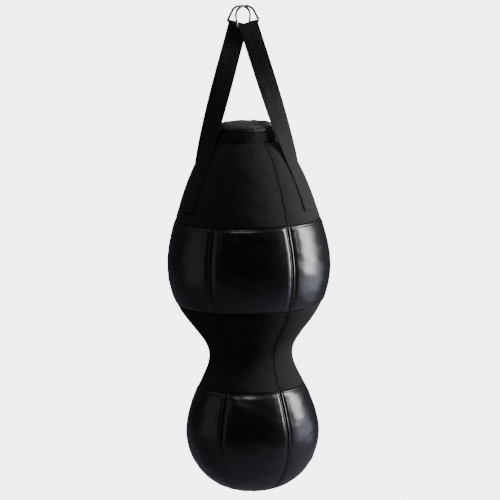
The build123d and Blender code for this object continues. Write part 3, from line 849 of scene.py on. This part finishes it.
# %% Bend and sweep the rings
def ring_line():
    """The closed centre line of a ring in its own plane, from the middle of its bar."""
    arc_middle = WIRE - ARC
    leg_x, leg_y = ARC * math.cos(TAPER), arc_middle + ARC * math.sin(TAPER)
    foot_x = leg_x + (leg_y + BAR_DROP) * math.tan(TAPER)
    corner_turn = math.pi / 2 + TAPER
    cut = CORNER * math.tan(corner_turn / 2)
    hub = np.array([foot_x - cut, -BAR_DROP + CORNER])
    line = [np.array([x, -BAR_DROP]) for x in np.linspace(0, hub[0], 12)[:-1]]
    line += [hub + CORNER * np.array([math.cos(a), math.sin(a)])
             for a in np.linspace(-math.pi / 2, TAPER, 12)]
    rise = line[-1]
    line += [rise + (np.array([leg_x, leg_y]) - rise) * share for share in np.linspace(0, 1, 10)[1:]]
    line += [np.array([ARC * math.cos(a), arc_middle + ARC * math.sin(a)])
             for a in np.linspace(TAPER, math.pi / 2, 30)[1:]]
    half = np.array(line)
    return np.concatenate([half, (half * [-1, 1])[::-1][1:-1]])


for side_name, side, body in (("left", -1, "rear_ring"), ("right", 1, "front_ring")):
    bar, along_bar, _ = ring_frame(side)
    hook = np.array([0, -side * RING_Y, 0])
    up_ring = unit(hook - bar)
    out_ring = np.cross(along_bar, up_ring)
    flat_line = ring_line()
    centre = hook + flat_line[:, :1] * along_bar + flat_line[:, 1:] * up_ring
    way = unit(np.roll(centre, -1, axis=0) - np.roll(centre, 1, axis=0))
    inward = np.cross(out_ring, way)
    turns = np.linspace(0, 2 * math.pi, 20, endpoint=False)
    wire = (centre[:, None] + WIRE * (np.cos(turns)[None, :, None] * inward[:, None]
                                      + np.sin(turns)[None, :, None] * out_ring))
    length = np.concatenate([[0], np.cumsum(np.linalg.norm(np.diff(centre, axis=0), axis=1)), [0.17]])
    around = np.linspace(0, 2 * math.pi * WIRE, 21)
    uv = np.stack(np.broadcast_arrays(around[None, :], length[:, None]), -1)
    ring = grid_piece(f"chrome_ring_{side_name}", wire, uv, chrome, close_round=True, close_down=True)
    outward(ring)
    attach(ring, body)
    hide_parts(f"d_ring_{side_name}")
    print(ring.name, "wire", round(length[-2], 3), "m round")

# %% [markdown]
# ## The mouth
# Above the shoulder the cover is gathered into a canvas collar, bound at its rim over a hidden
# stiffening hoop. These are turned shapes, but sewn ones: the collar puckers where it is
# gathered, and the binding is a soft roll with a stitch row through it.

# %% Turn a soft profile
def turned(name, profile, material, wobble=None, segments=240):
    """A closed profile of (radius, height) turned round the axis, with a soft wobble."""
    profile = np.array(profile, float)
    angle = np.linspace(0, 2 * math.pi, segments, endpoint=False)
    grid_angle, grid_step = np.meshgrid(angle, np.arange(len(profile)), indexing="xy")
    radius, height = profile[grid_step, 0], profile[grid_step, 1]
    if wobble is not None:
        radius = radius + wobble(grid_angle, height)
    points = np.stack([radius * np.cos(grid_angle), radius * np.sin(grid_angle), height], -1)
    steps = np.linalg.norm(np.diff(np.vstack([profile, profile[:1]]), axis=0), axis=1)
    run = np.concatenate([[0], np.cumsum(steps)])
    wide = np.linspace(0, 2 * math.pi, segments + 1) * profile[:, 0].max()
    uv = np.stack(np.broadcast_arrays(wide[None, :], run[:, None]), -1)
    piece = grid_piece(name, points, uv, material, close_round=True, close_down=True)
    return outward(piece)


def rounded_band(inner, outer, low, high, rounding, steps):
    """A closed rounded rectangle of (radius, height), anticlockwise from its low outer corner."""
    line = []
    corners = ((outer - rounding, low + rounding, -90), (outer - rounding, high - rounding, 0),
               (inner + rounding, high - rounding, 90), (inner + rounding, low + rounding, 180))
    for corner_r, corner_z, start in corners:
        for a in np.radians(np.linspace(start, start + 90, steps)):
            line.append((corner_r + rounding * math.cos(a), corner_z + rounding * math.sin(a)))
    return line


# %% Collar and binding
def collar_wobble(angle, height):
    gather = np.clip((height + 0.3407) / 0.0244, 0, 1)
    ripple = np.sin(61 * angle + 2.2 * np.sin(5 * angle)) * 0.5 + np.sin(23 * angle + 1) * 0.4
    return 0.0006 * ripple * (0.4 + 0.6 * gather)


collar_line = []
for share in np.linspace(0, 1, 40):
    bulge = 0.0012 * math.sin(math.pi * share) + 0.0008 * bell(np.array(share - 0.16), 0.07)
    bulge += 0.0014 * bell(np.array(share - 0.88), 0.06) - 0.0007 * bell(np.array(share - 0.68), 0.04)
    collar_line.append((0.0846 - 0.0049 * share + bulge, -0.3409 + 0.0246 * share))
collar_line += [(0.0772, -0.3163), (0.0794, -0.330), (0.0817, -0.3407)]
collar = turned("gathered_collar", collar_line, canvas, collar_wobble)
rim = turned("rim_roll", rounded_band(0.0723, 0.0789, -0.316, -0.304, 0.0030, 8), binding,
             lambda angle, height: 0.0003 * np.sin(37 * angle + 1.5 * np.sin(4 * angle)))
for piece, node, finish in ((collar, "collar_band", "canvas"), (rim, "rim_binding", "canvas")):
    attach(piece, "bag")
    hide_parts(node)


def turned_row(radius, height, lean=0.0):
    """A level stitch row round the mouth."""
    out = np.stack([np.cos(full_turn) * math.cos(lean), np.sin(full_turn) * math.cos(lean),
                    np.full(len(full_turn), math.sin(lean))], -1)
    points = np.stack([radius * np.cos(full_turn), radius * np.sin(full_turn),
                       np.full(len(full_turn), height)], -1)
    return points, out, True


mouth_rows = [turned_row(0.0840, -0.3345), turned_row(0.0812, -0.3195),
              turned_row(0.0790, -0.3125), turned_row(0.0762, -0.3039, math.pi / 2)]
mouth_stitches = sewn_rows("mouth_stitches", mouth_rows)
print("collar and binding made,", len(mouth_stitches.data.polygons), "stitch faces")

# %% [markdown]
# ## The lid
# Two halves of thin lining close the mouth, joined by a zip. They lie loose, so they crumple:
# flat along the zip, where the tape holds them, and at the rim, and rumpled between. Each half
# is a grid from the zip's edge out to the rim and down inside it.

# %% Crumpled lid halves
LID_RADIUS, LID_EDGE, LID_TOP, LID_SKIRT, SLOT = 0.072, 0.012, -0.298, -0.316, 0.005


def crumple(x, y):
    """Sharp-edged folds in thin cloth."""
    height = 0
    for way, pace, phase, size in chance_folds:
        wave = np.sin((x * math.cos(way) + y * math.sin(way)) * pace + phase
                      + 1.6 * np.sin((x * math.sin(way) - y * math.cos(way)) * pace * 0.6))
        height = height + (1 - np.abs(wave)) ** 2 * size
    return height


chance_folds = [(chance.uniform(0, math.pi), chance.uniform(55, 150),
                 chance.uniform(0, 6), chance.uniform(0.3, 1)) for _ in range(7)]
for half, sign in (("front", -1), ("rear", 1)):
    turn = np.linspace(0.075, math.pi - 0.075, 97)
    rim_x, rim_y = np.cos(turn), np.sin(turn)
    slot_x = rim_x * math.sqrt(LID_RADIUS**2 - SLOT**2) * 0.999
    rows = []
    for share in np.linspace(0, 1, 40):
        x = slot_x + (LID_RADIUS * rim_x - slot_x) * share
        y = SLOT + (LID_RADIUS * rim_y - SLOT) * share
        r = np.minimum(np.hypot(x, y), LID_RADIUS - 1e-6)
        over = np.clip(r - (LID_RADIUS - LID_EDGE), 0, LID_EDGE)
        z = LID_TOP - (LID_EDGE - np.sqrt(LID_EDGE**2 - over**2))
        loose = np.clip((y - SLOT - 0.004) / 0.014, 0, 1) * np.clip((LID_RADIUS - r - 0.003) / 0.014, 0, 1)
        rows.append(np.stack([x, y * sign, z + loose * (0.0018 * crumple(x, y * sign) - 0.0012)], -1))
    edge_x, edge_y, edge_z = rows[-1].T
    for drop in (0.25, 0.5, 0.75, 1.0):
        rows.append(np.stack([edge_x, edge_y, edge_z + (LID_SKIRT - edge_z) * drop], -1))
    points = np.array(rows)[:, ::-sign]
    uv = np.stack([points[..., 0], np.abs(points[..., 1]) - np.minimum(points[..., 2] - LID_TOP, 0)], -1)
    lid = thicken(grid_piece(f"lid_half_{half}", points, uv, lining), COVER_WALL)
    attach(lid, "bag")
    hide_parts(f"lid_panel_{half}")
    print(lid.name, "crumples to", round(1000 * (points[..., 2].max() - LID_TOP), 2), "mm above its flat")

# %% [markdown]
# ## The zip
# A coil zip has rows of small teeth that meet in the middle. Geometry Nodes set the teeth along
# a line, one tooth shape repeated at the zip's pitch. The slider and its pull come from the model
# and only get a finish.

# %% Zip teeth
def teeth_tree():
    """Geometry Nodes that set teeth along a line of points."""
    sizes = (("Pitch", 0.0022), ("Tooth Width", 0.0022), ("Tooth Length", 0.0013), ("Tooth Height", 0.0024))
    tree, given, line = begin_tree("zip teeth", "Line", sizes, "Nylon", "Teeth")
    size = tree.nodes.new("ShaderNodeCombineXYZ")
    for axis, title in (("X", "Tooth Length"), ("Y", "Tooth Width"), ("Z", "Tooth Height")):
        tree.links.new(given.outputs[title], size.inputs[axis])
    teeth = lay_ball(tree, line, 8, 5, 0.5, size.outputs[0])
    return end_tree(tree, given, teeth.outputs["Instances"], "Nylon", "Teeth")


tooth_setting = teeth_tree()
for half, sign in (("front", -1), ("rear", 1)):
    row_low, row_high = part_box(f"zip_row_{half}")
    y, z = (row_low.y + row_high.y) / 2, (row_low.z + row_high.z) / 2
    shift = 0.0011 if sign > 0 else 0.0
    line = bpy.data.meshes.new(f"zip_{half}_line")
    line.from_pydata([(row_low.x + 0.001 + shift, y, z), (row_high.x - 0.001, y, z)], [(0, 1)], [])
    teeth = baked(f"zip_teeth_{half}", line, tooth_setting, {"Pitch": 0.0022, "Nylon": nylon})
    teeth.data.shade_smooth()
    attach(teeth, "bag")
    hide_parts(f"zip_row_{half}")
    print(teeth.name, len(teeth.data.polygons), "faces")

# %% [markdown]
# ## The bottom patch
# The six gores of the lower ball can't meet in a point, so they stop short and a round vinyl
# patch covers the opening. The real patch is sewn on with two rings of stitches; here it is turned
# with a shallow dent near its edge, and no stitches are made on it.

# %% Turn the patch
patch_low, patch_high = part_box("bottom_patch")
PATCH_RADIUS = patch_high.x
patch_line = [(0.0004, patch_low.z + 0.0002), (0.012, patch_low.z + 0.0003)]
for radius in np.linspace(0.016, PATCH_RADIUS - 0.001, 20):
    along = underside_length(radius)
    height = float(np.interp(along, outline_length, outline[:, 1]))
    dent = 0.0005 * float(bell(np.array(radius - PATCH_RADIUS + 0.005), 0.001))
    dish = patch_low.z + 0.0003 + 10 * max(0, radius - 0.012) ** 2
    patch_line.append((radius, min(height - 0.0016 + dent, dish)))
edge_height = patch_line[-1][1]
patch_line += [(PATCH_RADIUS, edge_height + 0.0006), (PATCH_RADIUS - 0.0006, edge_height + 0.0013)]
patch_line += [(0.012, patch_high.z - 0.0008), (0.0004, patch_high.z - 0.0008)]
patch = turned("bottom_disc", patch_line, vinyl)
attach(patch, "bag")
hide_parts("bottom_patch")
print("patch radius", round(PATCH_RADIUS, 4))

# %% [markdown]
# ## Pieces kept from the model
# What is inside the cover, and the small zip parts, already have the right shape. They get their
# own finishes, so that nothing is left plain if the bag is ever opened.

# %% Finish the kept pieces
KEPT = {
    foam: ["shoulder_padding", "upper_ball_padding", "waist_padding", "lower_ball_padding",
           "textile_filling"],
    lining: ["inner_liner"],
    webbing: ["webbing_backing"],
    hoop: ["mouth_stiffener"],
    tape: ["zip_tape_front", "zip_tape_rear"],
    nylon: ["zip_stop_closed", "zip_stop_open"],
    enamel: ["zip_slider", "zip_pull"],
}
for material, nodes in KEPT.items():
    for node in nodes:
        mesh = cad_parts[node].data
        mesh.materials.clear()
        mesh.materials.append(material)
print("finished", sum(len(nodes) for nodes in KEPT.values()), "kept pieces")

# %% [markdown]
# ## Studio
# The bag hangs over a pale floor in front of a pale wall. A tall softbox on the right makes the
# long highlights on the vinyl, and weak fills keep the front gores nearly black. The paper is
# mid-grey, but it glows for camera rays alone, so it looks pale without lighting the bag.

# %% Floor and backdrop
FLOOR_LEVEL, FLOOR_RADIUS, CURVE_RADIUS, WALL_TOP = -1.55, 7.5, 1.5, 6.0


def backdrop(name, material):
    """A round floor that curves up into a wall all the way round."""
    line = [(r, FLOOR_LEVEL) for r in np.linspace(0.0001, FLOOR_RADIUS, 12)]
    line += [(FLOOR_RADIUS + CURVE_RADIUS * math.sin(a), FLOOR_LEVEL + CURVE_RADIUS * (1 - math.cos(a)))
             for a in np.linspace(0, math.pi / 2, 16)[1:]]
    line += [(FLOOR_RADIUS + CURVE_RADIUS, WALL_TOP)]
    angle = np.linspace(0, 2 * math.pi, 73)
    points = np.array([[(r * math.cos(a), r * math.sin(a), z) for a in angle] for r, z in line])
    piece = grid_piece(name, points, points[..., :2], material)


pale = finish_of("pale studio paper", (0.25, 0.25, 0.30), (0.29, 0.29, 0.34), 0.9, wear_amount=0.2)
camera_ray = pale.node_tree.nodes.new("ShaderNodeLightPath")
paper = pale.node_tree.nodes["Principled BSDF"]
pale.node_tree.links.new(camera_ray.outputs["Is Camera Ray"], paper.inputs["Emission Color"])
paper.inputs["Emission Strength"].default_value = 5.0
backdrop("studio_bowl", pale)


def softbox(name, place, aim, size, power, colour=(1, 1, 1)):
    lamp = bpy.data.lights.new(name, "AREA")
    lamp.shape = "RECTANGLE"
    lamp.size, lamp.size_y = size
    lamp.energy, lamp.color = power, colour
    light = bpy.data.objects.new(name, lamp)
    light.location = place
    light.rotation_euler = (Vector(aim) - Vector(place)).to_track_quat("-Z", "Y").to_euler()
    bpy.context.scene.collection.objects.link(light)


softbox("right_softbox", (1.15, -0.08, -0.32), (0.1, 0, -0.75), (0.46, 1.25), 23)
softbox("low_right_card", (1.7, 0.15, -1.46), (0.1, 0, -1.0), (1.3, 1.1), 7.5, (0.80, 0.82, 1.0))
softbox("left_fill", (-2.3, -0.5, -0.5), (0, 0, -0.7), (1.9, 2.0), 2.2)
softbox("front_top_fill", (-0.6, -2.3, 3.0), (0, 0, -0.8), (1.2, 1.0), 26)
softbox("wall_light", (0, 3.2, 4.2), (0, 8.2, -1.0), (9, 2), 60)
softbox("top_light", (0.3, 0.9, 1.8), (0, 0, -0.4), (1.0, 0.8), 7)
world = bpy.data.worlds.new("dim studio")
world.use_nodes = True
world.node_tree.nodes["Background"].inputs["Color"].default_value = (0.9, 0.95, 1.0, 1)
world.node_tree.nodes["Background"].inputs["Strength"].default_value = 0.10
bpy.context.scene.world = world

# %% Camera
lens = bpy.data.cameras.new("camera")
lens.lens, lens.sensor_width = 166.0, 36.0
lens.clip_end = 60
camera = bpy.data.objects.new("camera", lens)
bpy.context.scene.collection.objects.link(camera)
target = Vector((0.004, 0, -0.630))
lift, swing, roll = math.radians(9.5), math.radians(2.0), math.radians(-1.3)
CAMERA_DISTANCE = 6.0
camera_way = Vector((-math.sin(swing) * math.cos(lift), -math.cos(swing) * math.cos(lift), math.sin(lift)))
camera.location = target + CAMERA_DISTANCE * camera_way
look = (target - camera.location).to_track_quat("-Z", "Y").to_matrix().to_4x4()
camera.matrix_world = Matrix.Translation(camera.location) @ look @ Matrix.Rotation(roll, 4, "Z")
bpy.context.scene.camera = camera
print("camera at", [round(v, 2) for v in camera.location])
